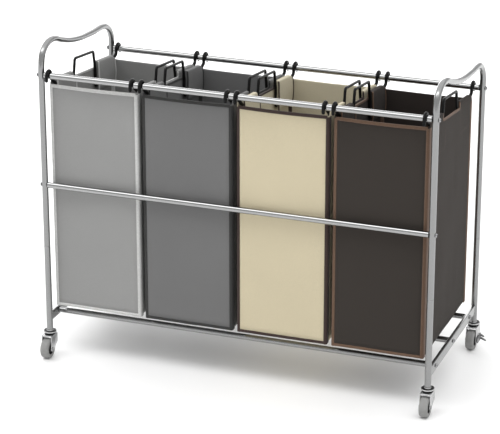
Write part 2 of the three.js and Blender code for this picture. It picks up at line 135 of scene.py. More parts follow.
def along_axes(tree, axes):
    """The sum of the object coordinates that axes names, such as "XY"."""
    parts = add_node(tree, "ShaderNodeSeparateXYZ", [("Vector", place(tree))])
    total = parts.outputs[axes[0]]
    for axis in axes[1:]:
        total = add(tree, total, parts.outputs[axis])
    return total


def mix_colors(tree, factor, first, second):
    """A blend of two colours, each (r, g, b) or an output socket."""
    first, second = (
        color if isinstance(color, bpy.types.NodeSocket) else (*color, 1)
        for color in (first, second)
    )
    node = add_node(tree, "ShaderNodeMix", [(0, factor), (6, first), (7, second)], data_type="RGBA")
    return node.outputs[2]


def scaled(color, factor):
    return tuple(min(1, channel * factor) for channel in color)


def shade(tree, shader, factor, base, dark, light):
    """Colours a surface between two shades of its base colour."""
    tone = mix_colors(tree, factor, scaled(base, dark), scaled(base, light))
    tree.links.new(tone, shader.inputs["Base Color"])


def add_bump(tree, shader, height, distance, strength=1.0):
    inputs = [("Height", height), ("Distance", distance), ("Strength", strength)]
    tree.links.new(add_node(tree, "ShaderNodeBump", inputs).outputs[0], shader.inputs["Normal"])


def coated_metal(name, base, roughness, metallic, grain=900, wear=0.04, coat=0.0, specular=0.5, peel=0.35):
    """Metal with a fine orange-peel coat, slight mottling and a roughness that varies."""
    material, tree, shader = new_material(
        name, base, roughness, metallic, Coat_Weight=coat, Coat_Roughness=0.2, Specular_IOR_Level=specular)
    shade(tree, shader, noise_texture(tree, 14, 4, 0.6), base, 1 - wear, 1 + wear)
    polish = remap(tree, noise_texture(tree, 60, 3), roughness * 0.8, roughness * 1.25)
    tree.links.new(polish, shader.inputs["Roughness"])
    add_bump(tree, shader, noise_texture(tree, grain, 2), 0.05 * MM, peel)
    return material


def woven_fabric(name, base, pitch=1.1 * MM, contrast=0.16):
    """Plain-woven polyester: two sets of threads over and under, flecked yarn and slight fading, with painted
    shade that darkens the weave's hollows.
    """
    material, tree, shader = new_material(
        name, base, 0.85, Sheen_Weight=0.05, Sheen_Roughness=0.5, Specular_IOR_Level=0.06)
    warp = wave(tree, along_axes(tree, "XY"), pitch)
    weft = wave(tree, along_axes(tree, "Z"), pitch)
    ribs = add(tree, arithmetic(tree, "ABSOLUTE", warp), arithmetic(tree, "ABSOLUTE", weft))
    height = average(tree, multiply(tree, warp, weft), ribs)
    yarn = noise_texture(tree, 420, 2, 0.6)
    # Colour follows the weave's height, so its hollows get painted shade; the yarn noise adds the yarn's own
    # flecks.
    tone = remap(tree, average(tree, height, yarn), 0, 1, 0, 0.9)
    threads = mix_colors(tree, tone, scaled(base, 1 - contrast), scaled(base, 1 + contrast))
    fading = remap(tree, noise_texture(tree, 7, 4, 0.55), 0, 0.22, 0.35, 0.75)
    tree.links.new(mix_colors(tree, fading, threads, scaled(base, 1.25)), shader.inputs["Base Color"])
    tree.links.new(remap(tree, yarn, 0.75, 0.95), shader.inputs["Roughness"])
    add_bump(tree, shader, height, 0.25 * MM, 0.6)
    return material


def ribbed_tape(name, base, pitch=1.6 * MM):
    """Grosgrain binding tape: fine cross ribs with painted shade in their grooves, and a soft sheen."""
    material, tree, shader = new_material(
        name, base, 0.7, Sheen_Weight=0.1, Sheen_Roughness=0.4, Specular_IOR_Level=0.3)
    ribs = wave(tree, along_axes(tree, "XYZ"), pitch)
    yarn = noise_texture(tree, 300, 3, 0.6)
    # The ribs paint their grooves darker as painted shade; the yarn noise is the yarn's own flecks.
    tone = add(tree, multiply(tree, ribs, 0.25), yarn)
    shade(tree, shader, remap(tree, tone, 0, 1, 0.2, 0.9), base, 0.82, 1.15)
    add_bump(tree, shader, ribs, 0.2 * MM, 0.5)
    return material


def sewing_thread(name, base, ply=0.7 * MM):
    """Twisted thread, with painted shade that darkens the grooves between its plies."""
    material, tree, shader = new_material(name, base, 0.5, Sheen_Weight=0.3)
    twist = wave(tree, along_axes(tree, "XZ"), ply)
    # The twist's wave paints the grooves between the plies darker: painted shade.
    shade(tree, shader, remap(tree, twist, 0, 1, -1), base, 0.75, 1.1)
    return material


def moulded_rubber(name, base):
    """Matt rubber with scuffs and a fine moulded grain."""
    material, tree, shader = new_material(name, base, 0.62, Specular_IOR_Level=0.35)
    scuffs = noise_texture(tree, 90, 5, 0.65)
    shade(tree, shader, scuffs, base, 0.8, 1.2)
    tree.links.new(remap(tree, scuffs, 0.5, 0.8), shader.inputs["Roughness"])
    add_bump(tree, shader, noise_texture(tree, 1400, 3, 0.6), 0.06 * MM, 0.5)
    return material


SILVER = coated_metal("satin_silver", (0.285, 0.287, 0.287), 0.2, 0.95, coat=0.06)
CHROME = coated_metal("bright_chrome", (0.36, 0.362, 0.362), 0.07, 1.0, grain=250, wear=0.015, peel=0.08)
ZINC = coated_metal("zinc_plate", (0.32, 0.322, 0.325), 0.25, 0.95, grain=1400, wear=0.08)
PRESSED_STEEL = coated_metal("pressed_steel", (0.52, 0.522, 0.525), 0.2, 0.95, grain=1100, wear=0.07)
PEDAL_GREY = coated_metal("pedal_grey", (0.12, 0.12, 0.122), 0.45, 0.3, grain=1000, wear=0.1)
BLACK_WIRE = coated_metal(
    "black_wire_coat", (0.006, 0.006, 0.006), 0.36, 0.0, grain=700, wear=0.15, specular=0.14)
BLACK_PLASTIC = coated_metal(
    "black_plastic", (0.005, 0.005, 0.005), 0.4, 0.0, grain=1500, wear=0.15, specular=0.12)
GREY_RUBBER = moulded_rubber("grey_rubber", (0.25, 0.25, 0.245))
BLACK_RUBBER = moulded_rubber("black_hub", (0.01, 0.01, 0.01))

# Each bag's slot, and the colours of its outside, lining and binding
FABRICS = {
    1: ("fabric_light_grey", (0.272, 0.272, 0.268), (0.235, 0.235, 0.231), (0.56, 0.56, 0.55)),
    2: ("fabric_mid_grey", (0.151, 0.151, 0.151), (0.145, 0.145, 0.145), (0.03, 0.03, 0.029)),
    3: ("fabric_beige", (0.535, 0.474, 0.336), (0.48, 0.44, 0.335), (0.038, 0.022, 0.019)),
    4: ("fabric_dark_brown", (0.039, 0.0335, 0.0295), (0.032, 0.0262, 0.0235), (0.125, 0.073, 0.046)),
}
CLOTHS = {}
for number, (fabric_slot, outside, lining, tape) in FABRICS.items():
    CLOTHS[number] = {
        "slot": fabric_slot,
        "outside": woven_fabric(f"bag_{number}_cloth", outside),
        "lining": woven_fabric(f"bag_{number}_lining", lining, pitch=1.4 * MM, contrast=0.25),
        "tape": ribbed_tape(f"bag_{number}_tape", tape),
        "thread": sewing_thread(f"bag_{number}_thread", scaled(tape, 1.3)),
    }


# ---- Mesh building ----

def in_mm(points):
    return [(first * MM, second * MM) for first, second in points]


def piece(name, vertices, faces, materials, body, replaced=(), slot=None, face_materials=None, sharp=None):
    """A smooth-shaded mesh riding on its body; edges above sharp degrees stay crisp."""
    mesh = bpy.data.meshes.new(name)
    mesh.from_pydata([tuple(v) for v in vertices], [], faces)
    for material in materials:
        mesh.materials.append(material)
    if face_materials:
        mesh.polygons.foreach_set("material_index", face_materials)
    mesh.polygons.foreach_set("use_smooth", [True] * len(mesh.polygons))
    mesh.update()
    bm = bmesh.new()
    bm.from_mesh(mesh)
    bmesh.ops.recalc_face_normals(bm, faces=bm.faces)
    bm.to_mesh(mesh)
    bm.free()
    if sharp:
        mesh.set_sharp_from_angle(angle=math.radians(sharp))
    made = bpy.data.objects.new(name, mesh)
    bpy.context.scene.collection.objects.link(made)
    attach(made, body)
    if replaced:
        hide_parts(*replaced)
    return made


def ring_faces(rings, count, closed=False):
    """Quads between successive rings of count vertices each."""
    faces = []
    for ring in range(rings if closed else rings - 1):
        first = ring * count
        second = (ring + 1) % rings * count
        for i in range(count):
            j = (i + 1) % count
            faces.append((first + i, first + j, second + j, second + i))
    return faces


def sweep(points, radius, sides, x, wall=0.0, round_ends=False):
    """A rod or tube along points (y, z) of a side plane; with a wall it is open-ended, else capped."""
    vertices = []
    sections = []
    last = len(points) - 1
    for i, (y, z) in enumerate(points):
        before = points[max(i - 1, 0)]
        after = points[min(i + 1, last)]
        tangent = Vector((0, after[0] - before[0], after[1] - before[1])).normalized()
        sections.append((Vector((x, y, z)), tangent, radius))
    if round_ends:
        start, end = sections[0], sections[-1]
        angles = [math.pi / 2 * k / CAP_STEPS for k in range(1, CAP_STEPS)]
        caps = [(math.cos(angle), math.sin(angle)) for angle in angles]
        head = [(start[0] - start[1] * radius * s, start[1], radius * c) for c, s in reversed(caps)]
        tail = [(end[0] + end[1] * radius * s, end[1], radius * c) for c, s in caps]
        sections = head + sections + tail
    across = Vector((1, 0, 0))

    def add_rings(inset, order):
        for centre, tangent, size in order:
            up = across.cross(tangent)
            for k in range(sides):
                angle = 2 * math.pi * k / sides
                spoke = across * math.cos(angle) + up * math.sin(angle)
                vertices.append(centre + spoke * (size - inset))

    add_rings(0, sections)
    if wall:
        add_rings(wall, reversed(sections))
        return vertices, ring_faces(2 * len(sections), sides, closed=True)
    faces = ring_faces(len(sections), sides)
    faces.append(tuple(range(sides)))
    faces.append(tuple(range(len(vertices) - sides, len(vertices))))
    return vertices, faces


def revolve(profile, segments, axis, centre=(0, 0, 0)):
    """A solid turned about an axis through centre, from a closed profile of (radius, along) points."""
    turn = {"Z": Matrix.Identity(3), "X": Matrix.Rotation(math.pi / 2, 3, "Y")}[axis]
    vertices = []
    rings = []
    for radius, along in profile:
        if radius < 1e-9:
            vertices.append(turn @ Vector((0, 0, along)) + Vector(centre))
            rings.append([len(vertices) - 1])
            continue
        rings.append(list(range(len(vertices), len(vertices) + segments)))
        for k in range(segments):
            angle = 2 * math.pi * k / segments
            spot = Vector((radius * math.cos(angle), radius * math.sin(angle), along))
            vertices.append(turn @ spot + Vector(centre))
    pairs = list(zip(rings, rings[1:]))
    if len(rings[0]) > 1:
        pairs.append((rings[-1], rings[0]))
    faces = []
    for first, second in pairs:
        for k in range(segments):
            j = (k + 1) % segments
            if len(first) == 1:
                faces.append((first[0], second[k], second[j]))
            elif len(second) == 1:
                faces.append((first[k], first[j], second[0]))
            else:
                faces.append((first[k], first[j], second[j], second[k]))
    return vertices, faces


def turned_piece(name, profile, segments, axis, centre, material, body, **links):
    piece(name, *revolve(profile, segments, axis, centre), [material], body, sharp=35, **links)


def bevelled(made, width, angle=30):
    """Rounds a piece's sharp edges, as a press or a mould leaves them."""
    bm = bmesh.new()
    bm.from_mesh(made.data)
    bmesh.ops.remove_doubles(bm, verts=bm.verts, dist=1e-6)
    bmesh.ops.recalc_face_normals(bm, faces=bm.faces)
    edges = [e for e in bm.edges if e.is_manifold and e.calc_face_angle(0) > math.radians(angle)]
    bmesh.ops.bevel(
        bm, geom=edges, offset=width, segments=2, profile=0.5, affect="EDGES", clamp_overlap=True)
    for face in bm.faces:
        face.smooth = True
    bm.to_mesh(made.data)
    bm.free()


def smooth_curve(points, per_span):
    """Points along a smooth curve through (y, z) points, per_span to each gap."""
    found = []
    last = len(points) - 1
    for i in range(last):
        p0, p1, p2, p3 = (Vector(points[min(max(i + k, 0), last)]) for k in (-1, 0, 1, 2))
        span = (p2 - p1).length
        m1 = (p2 - p0) * span / ((p1 - p0).length + span)
        m2 = (p3 - p1) * span / ((p3 - p2).length + span)
        for step in range(per_span):
            t = step / per_span
            found.append(
                p1 * (2 * t ** 3 - 3 * t ** 2 + 1) + m1 * (t ** 3 - 2 * t ** 2 + t)
                + p2 * (3 * t ** 2 - 2 * t ** 3) + m2 * (t ** 3 - t ** 2))
    found.append(Vector(points[-1]))
    return [tuple(p) for p in found]


def round_corners(corners, radius, steps):
    """Replaces each inner corner of a (y, z) polyline by a tangent arc."""
    found = [Vector(corners[0])]
    for before, corner, after in zip(corners, corners[1:], corners[2:]):
        corner = Vector(corner)
        back = (Vector(before) - corner).normalized()
        ahead = (Vector(after) - corner).normalized()
        half = back.angle(ahead) / 2
        centre = corner + (back + ahead).normalized() * radius / math.sin(half)
        start = corner + back * radius / math.tan(half) - centre
        end = corner + ahead * radius / math.tan(half) - centre
        turn = math.atan2(start.x * end.y - start.y * end.x, start.dot(end))
        for step in range(steps + 1):
            found.append(centre + Matrix.Rotation(turn * step / steps, 2) @ start)
    found.append(Vector(corners[-1]))
    return [tuple(p) for p in found]


# ---- Frame ----

def extent(node):
    """The middle of a CAD node's box, and half its size."""
    low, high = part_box(node)
    return (low + high) / 2, (high - low) / 2


POST = {(end, side): extent(f"{end}_{side}_lower_post")[0] for end in ENDS for side in SIDES}
HALF_DEPTH = (POST["rear", "left"].y - POST["front", "left"].y) / 2
MIDDLE_Y = (POST["rear", "left"].y + POST["front", "left"].y) / 2
JOINT_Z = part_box("left_end_frame")[0].z
TUBE_RADIUS = extent("front_left_lower_post")[1].y


def build_end_frame(side):
    """The bent tube from the front post's joint over the push hoop to the rear post's joint."""
    curve = smooth_curve([(MIDDLE_Y + y * MM, z * MM) for y, z in HOOP], 7)
    front_foot = (MIDDLE_Y - HALF_DEPTH, JOINT_Z)
    rear_foot = (MIDDLE_Y + HALF_DEPTH, JOINT_Z)
    lip = 1.2 * MM
    path = [front_foot, (front_foot[0], JOINT_Z + lip), *curve, (rear_foot[0], JOINT_Z + lip), rear_foot]
    vertices, faces = sweep(path, TUBE_RADIUS, TUBE_SIDES, POST["front", side].x, TUBE_WALL)
    node = f"{side}_end_frame"
    piece(f"{side}_hoop_tube", vertices, faces, [SILVER], "frame", (node,), "frame_silver", sharp=50)


def build_lower_post(end, side):
    """A tube whose narrowed top plugs into the end frame."""
    node = f"{end}_{side}_lower_post"
    spot = POST[end, side]
    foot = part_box(node)[0].z
    radius = TUBE_RADIUS
    lip = 0.5 * MM
    spigot = radius - TUBE_WALL - 0.3 * MM
    top = JOINT_Z + 25 * MM
    profile = [
        (radius - lip, foot), (radius, foot + lip),
        (radius, JOINT_Z - 2 * lip), (radius - lip, JOINT_Z - lip),
        (spigot, JOINT_Z - lip), (spigot, top),
        (spigot - TUBE_WALL, top), (spigot - TUBE_WALL, foot),
    ]
    turned_piece(
        f"{node}_tube", profile, TUBE_SIDES, "Z", (spot.x, spot.y, 0), SILVER, "frame",
        replaced=(node,), slot="frame_silver")


def build_rail(node, material, slot):
    """A tube across the sorter, with its ends' edges broken."""
    centre, size = extent(node)
    radius, half = size.y, size.x
    lip = 0.4 * MM
    wall = 1 * MM
    profile = [
        (radius - lip, -half), (radius, -half + lip), (radius, half - lip), (radius - lip, half),
        (radius - wall, half), (radius - wall, -half),
    ]
    turned_piece(
        f"{node}_tube", profile, TUBE_SIDES, "X", centre, material, "frame", replaced=(node,), slot=slot)


def build_bolt(node):
    """A domed head with a round recess, on its shank."""
    low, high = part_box(node)
    centre = (low + high) / 2
    outward = 1 if centre.x > 0 else -1
    seat = (low.x if outward < 0 else high.x) - outward * BOLT_HEAD_HEIGHT
    shank = abs((high.x if outward < 0 else low.x) - seat)
    radius = BOLT_HEAD_RADIUS
    profile = [
        (0, -shank), (BOLT_RADIUS, -shank), (BOLT_RADIUS, 0), (radius - 0.3 * MM, 0), (radius, 0.4 * MM),
        (radius * 0.93, 1.6 * MM), (radius * 0.78, 2.6 * MM), (radius * 0.52, 3.2 * MM),
        (radius * 0.46, 3.25 * MM), (radius * 0.44, 1.4 * MM), (0, 1.2 * MM),
    ]
    vertices, faces = revolve(profile, BOLT_SIDES, "X")
    vertices = [Vector((outward * v.x, v.y, v.z)) + Vector((seat, centre.y, centre.z)) for v in vertices]
    piece(f"{node}_domed", vertices, faces, [ZINC], "frame", (node,), "bolt_zinc", sharp=40)


def build_base_tube(side):
    """A flat rectangular tube with rounded edges, open at both ends."""
    node = f"{side}_base_tube"
    centre, half = extent(node)
    front, rear = centre.y - half.y, centre.y + half.y
    vertices = []
    rings = ((front, 0), (rear, 0), (rear, TUBE_WALL), (front, TUBE_WALL))
    for y, inset in rings:
        radius = 1.6 * MM - inset * 0.7
        for quarter in range(4):
            diagonal = math.pi / 2 * (quarter + 0.5)
            corner_x = centre.x + math.copysign(half.x - inset - radius, math.cos(diagonal))
            corner_z = centre.z + math.copysign(half.z - inset - radius, math.sin(diagonal))
            for step in range(5):
                angle = math.pi / 2 * (quarter + step / 4)
                x, z = corner_x + radius * math.cos(angle), corner_z + radius * math.sin(angle)
                vertices.append(Vector((x, y, z)))
    faces = ring_faces(len(rings), len(vertices) // len(rings), closed=True)
    piece(f"{node}_section", vertices, faces, [SILVER], "frame", (node,), "frame_silver", sharp=40)


def build_frame():
    for side in SIDES:
        build_end_frame(side)
        build_base_tube(side)
        for end in ENDS:
            build_lower_post(end, side)
    for rail in ("front_top_rail", "rear_top_rail", "middle_rail"):
        build_rail(rail, CHROME, "rail_chrome")
    for rail in ("front_base_rail", "middle_base_rail", "rear_base_rail"):
        build_rail(rail, SILVER, "frame_silver")
    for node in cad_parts:
        if node.endswith("_bolt"):
            build_bolt(node)


# ---- Bags ----

FRONT_TOP = 631 * MM
REAR_TOP = 591.5 * MM
EAR_RISE = 11 * MM
EAR_CORNER = 20 * MM
EAR_DROP = 11 * MM
NOTCH = (-67.5 * MM, 59.5 * MM)
NOTCH_DEPTH = 13.5 * MM
CLOTH = 1.3 * MM
CORNER = 3.5 * MM
PANEL_TAPE = 6.8 * MM
SIDE_WRAP = 14 * MM
NOTCH_TAPE = 4.5 * MM
TAPE_PROUD = 0.8 * MM
RIM_SAG = 1.5 * MM
NOTCH_ROUND = 2 * MM
FLOOR_ROLL = 4 * MM
FLOOR_SAG = 5 * MM

# Up to this height the cloth's rows are level; above it they fan out to the sloping top edge
LEVEL_TOP = 575 * MM
LEVEL_ROWS = 30
FAN_ROWS = 5
FLOOR_RINGS = 8

# Stitches: their pitch, how far inside the binding's edge they run and how proud of the cloth they lie
STITCH_PITCH = 4 * MM
STITCH_HALF = 1.3 * MM
STITCH_THICK = 0.3 * MM
STITCH_IN = 1.4 * MM
ON_TAPE = TAPE_PROUD * 1.02
ON_FOOT_TAPE = TAPE_PROUD * 1.32
ON_CLOTH = 0.1 * MM

# Across a flat binding, as (share of its width, height as a share of TAPE_PROUD)
FLAT_TAPE = ((0, -0.2), (0.07, 0.9), (0.2, 1.3), (0.8, 1.3), (0.93, 0.9), (1, -0.2))

# Sleeves inside the side panels that hold the wire, as (front y, rear y, foot z)
SLEEVES = ((-151 * MM, -52 * MM, 546 * MM), (67 * MM, 160 * MM, 537 * MM))
SLEEVE_DEPTH = 9 * MM


def half_side_rim(notch):
    """From a side panel's end over its ear and down into the notch, as (distance from the end, rise)."""
    drop = NOTCH_ROUND * 0.3
    marks = []
    for k in range(9):
        turn = math.pi / 2 * k / 8
        marks.append((EAR_CORNER * (1 - math.cos(turn)), EAR_RISE - EAR_DROP * (1 - math.sin(turn))))
    for k in range(1, 8):
        marks.append((EAR_CORNER + (notch - EAR_CORNER) * k / 8, EAR_RISE))
    marks += [(notch - NOTCH_ROUND, EAR_RISE), (notch - 0.4 * NOTCH_ROUND, EAR_RISE - drop)]
    marks += [(notch, EAR_RISE - NOTCH_ROUND), (notch, EAR_RISE - NOTCH_DEPTH / 2)]
    marks += [(notch, EAR_RISE - NOTCH_DEPTH + NOTCH_ROUND), (notch + drop, EAR_RISE - NOTCH_DEPTH + drop)]
    return marks


class Bag:
    """The bag's cloth as a surface of (s, z): s runs round the bag from the front left corner, z up it."""

    def __init__(self, number):
        self.number = number
        self.node = f"bag_{number}"
        self.cloth = CLOTHS[number]
        low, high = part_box(self.node)
        self.low, self.high = low, high
        self.centre_x = (low.x + high.x) / 2
        self.centre_y = (low.y + high.y) / 2
        self.width = high.x - low.x - 2 * CORNER
        self.depth = high.y - low.y - 2 * CORNER
        self.arc = CORNER * math.pi / 2
        self.starts = [0]
        for length in (self.width, self.arc, self.depth, self.arc) * 2:
            self.starts.append(self.starts[-1] + length)
        self.round = self.starts[-1]
        self.seed = Vector((number * 7.3, number * 3.1, number * 5.7))

    def part(self, s):
        """Which of the four panels and four corners s is on, even numbers being panels."""
        return max(i for i in range(8) if self.starts[i] <= s + 1e-12)

    def ring(self, s):
        """Place and outward direction at s, on the flat-sided plan of the bag."""
        s %= self.round
        part = self.part(s)
        along = s - self.starts[part]
        turn = Matrix.Rotation(math.pi / 2 * (part // 2), 2)
        half_x, half_y = self.width / 2, self.depth / 2
        plan = ((-half_x, -half_y), (half_x, -half_y), (half_x, half_y), (-half_x, half_y))
        corners = [Vector(corner) for corner in plan]
        ahead = turn @ Vector((1, 0))
        out = turn @ Vector((0, -1))
        if part % 2 == 0:
            return corners[part // 2] + ahead * along + out * CORNER, out
        out = Matrix.Rotation(along / CORNER, 2) @ out
        return corners[(part // 2 + 1) % 4] + out * CORNER, out

    def panel(self, s):
        """(panel number or None at a corner, share of the way across it)."""
        s %= self.round
        part = self.part(s)
        share = (s - self.starts[part]) / (self.starts[part + 1] - self.starts[part])
        return (part // 2 if part % 2 == 0 else None), share

    def fullness(self, s, z):
        """How far the cloth stands out of its flat plan: a soft belly and faint ripples, least at the rim."""
        panel, share = self.panel(s)
        up = min(max((z - self.low.z) / (FRONT_TOP - self.low.z), 0), 1)
        across = math.sin(math.pi * share) if panel is not None else 0
        belly = (2.2 if panel in (1, 3) else 1.5) * MM * across ** 0.8 * math.sin(math.pi * up) ** 0.8
        place, _ = self.ring(s)
        slow = noise.noise(Vector((place.x, place.y, z)) * 9 + self.seed) * 1.5 * MM
        drape = noise.noise(Vector((place.x * 26, place.y * 26, z * 5)) + self.seed) * 0.8 * MM
        held = across ** 0.5 * min(1, 4 * (1 - up) + 0.25) if panel is not None else 0.12
        return belly + (slow + drape) * held

    def point(self, s, z, proud=0.0):
        """A point of the cloth's outer face, moved out of it by proud (inside the bag when below -CLOTH)."""
        place, out = self.ring(s)
        rise = self.fullness(s, z) + proud
        return Vector((self.centre_x + place.x + out.x * rise, self.centre_y + place.y + out.y * rise, z))

    def side_s(self, side, y):
        """s of the point at y, from the posts' middle, on the left or right side panel."""
        along = MIDDLE_Y + y - self.centre_y + self.depth / 2
        return self.starts[2] + along if side == "right" else self.starts[6] + self.depth - along

    def slope(self, s):
        """Height at s of the straight line from the front panel's top to the rear panel's."""
        y = self.centre_y + self.ring(s)[0].y
        share = (y - self.low.y) / (self.high.y - self.low.y)
        return FRONT_TOP + share * (REAR_TOP - FRONT_TOP)

    def rim(self):
        """The top edge as (s, z), round the whole bag, with its ears and hand notches."""
        found = []
        for panel, side in ((0, None), (2, "right"), (4, None), (6, "left")):
            start = self.starts[panel]
            found += self.side_rim(start, side) if side else self.end_rim(start)
        return found

    def end_rim(self, start):
        """The sagging top edge of the front or rear panel, as (s, z)."""
        marks = [(start + self.width * k / 16, RIM_SAG * math.sin(math.pi * k / 16)) for k in range(17)]
        return [(s, self.slope(s) - sag) for s, sag in marks]

    def side_rim(self, start, side):
        """The top edge of the side panel that starts at start, as (s, z)."""
        end = start + self.depth
        first, last = sorted(self.side_s(side, y) for y in NOTCH)
        marks = [(start + away, rise) for away, rise in half_side_rim(first - start)]
        for k in range(13):
            floor_s = first + NOTCH_ROUND + (last - first - 2 * NOTCH_ROUND) * k / 12
            marks.append((floor_s, EAR_RISE - NOTCH_DEPTH))
        marks += [(end - away, rise) for away, rise in reversed(half_side_rim(end - last))]
        return [(s, self.slope(s) + rise) for s, rise in marks]


def rim_height(rim, s):
    """Height of the top edge over s, by straight lines between its points."""
    for (s0, z0), (s1, z1) in zip(rim, rim[1:]):
        if s0 <= s <= s1 and s1 > s0:
            return z0 + (z1 - z0) * (s - s0) / (s1 - s0)
    return rim[-1][1]


def close_floor(bag, mesh, columns, first, edge_z, inset, inward):
    """Rings that shrink from the wall's bottom row to the middle of the floor, sagging as they go."""
    vertices, faces = mesh
    count = len(columns)
    ring = list(range(first, first + count))
    centre = Vector((bag.centre_x, bag.centre_y))
    for k in range(1, FLOOR_RINGS + 1):
        share = k / FLOOR_RINGS
        sag = FLOOR_SAG * (1 - (1 - share) ** 2)
        fresh = list(range(len(vertices), len(vertices) + count))
        for s in columns:
            edge = bag.point(s, bag.low.z + FLOOR_ROLL, -inset)
            spot = Vector((edge.x, edge.y)).lerp(centre, share ** 1.1 * 0.985)
            vertices.append(Vector((spot.x, spot.y, edge_z - sag)))
        for i in range(count):
            j = (i + 1) % count
            quad = (ring[j], ring[i], fresh[i], fresh[j])
            faces.append(tuple(reversed(quad)) if inward else quad)
        ring = fresh
    faces.append(tuple(ring) if inward else tuple(reversed(ring)))


def build_shell(bag, rim):
    """The cloth: outside, rim, lining and floor in one closed skin that sags at the bottom."""
    tops = {}
    for s, z in rim:
        same = next((known for known in tops if abs(known - s) < 1e-9), s)
        tops[same] = min(z, tops.get(same, z))
    columns = list(tops)
    count = len(columns)
    bottom = bag.low.z
    wall = bottom + FLOOR_ROLL
    rows = []
    for k in range(LEVEL_ROWS + 1):
        rows.append([(s, wall + (LEVEL_TOP - wall) * k / LEVEL_ROWS) for s in columns])
    for k in range(1, FAN_ROWS + 1):
        rows.append([(s, LEVEL_TOP + (tops[s] - LEVEL_TOP) * k / FAN_ROWS) for s in columns])
    vertices = [bag.point(s, z) for row in rows for s, z in row]
    faces = ring_faces(len(rows), count)
    outside = len(faces)
    lining = len(vertices)
    for row in reversed(rows):
        vertices += [bag.point(s, z, -CLOTH) for s, z in row]
    top = lining - count
    for i in range(count):
        j = (i + 1) % count
        faces.append((top + i, top + j, lining + j, lining + i))
    faces += [tuple(lining + v for v in face) for face in ring_faces(len(rows), count)]
    tags = [0] * outside + [1] * (len(faces) - outside)
    mesh = (vertices, faces)
    close_floor(bag, mesh, columns, 0, bottom + 0.5 * MM, 2.5 * MM, False)
    tags += [0] * (len(faces) - len(tags))
    inner = len(rows) * 2 * count - count
    close_floor(bag, mesh, columns, inner, bottom + 0.5 * MM + CLOTH, 2.5 * MM + CLOTH, True)
    tags += [1] * (len(faces) - len(tags))
    materials = [bag.cloth["outside"], bag.cloth["lining"]]
    piece(f"{bag.node}_cloth", vertices, faces, materials, bag.node, (bag.node,), bag.cloth["slot"], tags)


def clean_path(path):
    """The path without repeated points."""
    found = []
    for spot in path:
        if not found or (Vector(spot) - Vector(found[-1])).length > 1e-6:
            found.append(spot)
    return found


def offset_path(path, width):
    """The open path (s, z) moved by width to its lower side, with mitred corners."""
    found = []
    last = len(path) - 1
    for i, spot in enumerate(path):
        here = Vector(spot)
        first = (here - Vector(path[i - 1])).normalized() if i else (Vector(path[1]) - here).normalized()
        second = (Vector(path[i + 1]) - here).normalized() if i < last else first
        below = Vector((first.y, -first.x))
        down = (below + Vector((second.y, -second.x))).normalized()
        found.append(tuple(here + down * width / max(0.5, down.dot(below))))
    return found


def add_ribbon(mesh, bag, sections):
    """Adds a closed strip whose sections each list the same number of (s, z, proud) points."""
    vertices, faces = mesh
    start = len(vertices)
    size = len(sections[0])
    for section in sections:
        vertices += [bag.point(s, z, proud) for s, z, proud in section]
    faces += [tuple(start + v for v in face) for face in ring_faces(len(sections), size)]
    faces.append(tuple(start + k for k in range(size)))
    faces.append(tuple(start + (len(sections) - 1) * size + k for k in reversed(range(size))))


def add_folded_tape(mesh, bag, path, outer_width, inner_width):
    """Binding folded over a stretch of the top edge: outer flap, fold and inner flap."""
    path = clean_path(path)
    loops = (
        ("out", 1.0, -0.15), ("out", 0.93, 0.75), ("out", 0.8, 1.0), ("out", 0.4, 1.0), ("out", 0.0, 1.0),
        ("in", 0.0, 1.0), ("in", 0.4, 1.0), ("in", 0.8, 1.0), ("in", 0.93, 0.75), ("in", 1.0, -0.15),
    )
    rows = []
    for face, across, lift in loops:
        width = (outer_width if face == "out" else inner_width) * across
        rise = lift * TAPE_PROUD
        if across == 0:
            width, rise = -0.5 * TAPE_PROUD, 0.5 * TAPE_PROUD
        proud = rise if face == "out" else -CLOTH - rise
        rows.append([(s, z, proud) for s, z in offset_path(path, width)])
    add_ribbon(mesh, bag, list(zip(*rows)))


def rim_stretch(rim, first_s, last_s):
    """The part of the top edge between two values of s."""
    middle = [(s, z) for s, z in rim if first_s + 1e-6 < s < last_s - 1e-6]
    return [(first_s, rim_height(rim, first_s)), *middle, (last_s, rim_height(rim, last_s))]


def add_corner_tape(mesh, bag, corner_s, inward, z_low, z_high):
    """Binding down a corner: from the front or rear panel round onto the side panel."""
    shares = [-1, -0.95, -0.85, *(-0.85 + 1.7 * k / 10 for k in range(1, 10)), 0.85, 0.95, 1]
    lifts = [-0.2, 0.7, *([1] * 11), 0.7, -0.2]
    inner = corner_s + inward * (PANEL_TAPE - CORNER)
    outer = corner_s - inward * (bag.arc + SIDE_WRAP - CORNER)
    centre, half = (inner + outer) / 2, abs(inner - outer) / 2
    sections = []
    for k in range(41):
        z = z_low + (z_high - z_low) * k / 40
        sections.append([(centre + share * half, z, lift * TAPE_PROUD) for share, lift in zip(shares, lifts)])
    add_ribbon(mesh, bag, sections)


